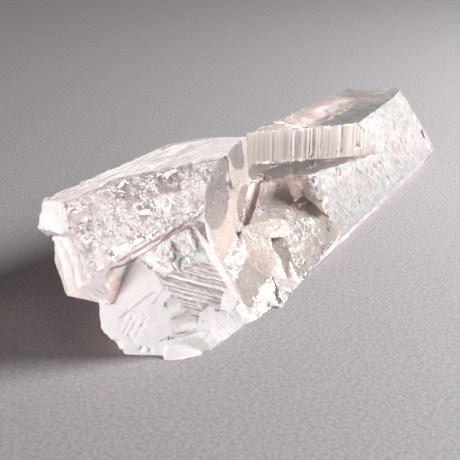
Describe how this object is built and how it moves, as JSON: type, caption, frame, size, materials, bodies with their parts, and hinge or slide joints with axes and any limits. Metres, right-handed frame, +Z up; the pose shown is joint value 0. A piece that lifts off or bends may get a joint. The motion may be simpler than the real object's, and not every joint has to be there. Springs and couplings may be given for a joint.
{
  "type": "quartz crystal",
  "caption": "Clear quartz crystal: a long flat blade grown together with stubbier crystals, with frosted faces, a striped notch and a rough broken near end.",
  "frame": {"origin": "on the ground, under the middle of the bounding box", "axes": "+X along the crystals' shared long axis to the pointed tip, +Y to the left, +Z up"},
  "size_m": [0.0586, 0.015, 0.013],
  "materials": {
    "quartz": "clear and glossy on broken faces, frosted on grown and etched faces"
  },
  "bodies": {
    "root": {"quartz_crystal": "quartz"}
  },
  "joints": []
}
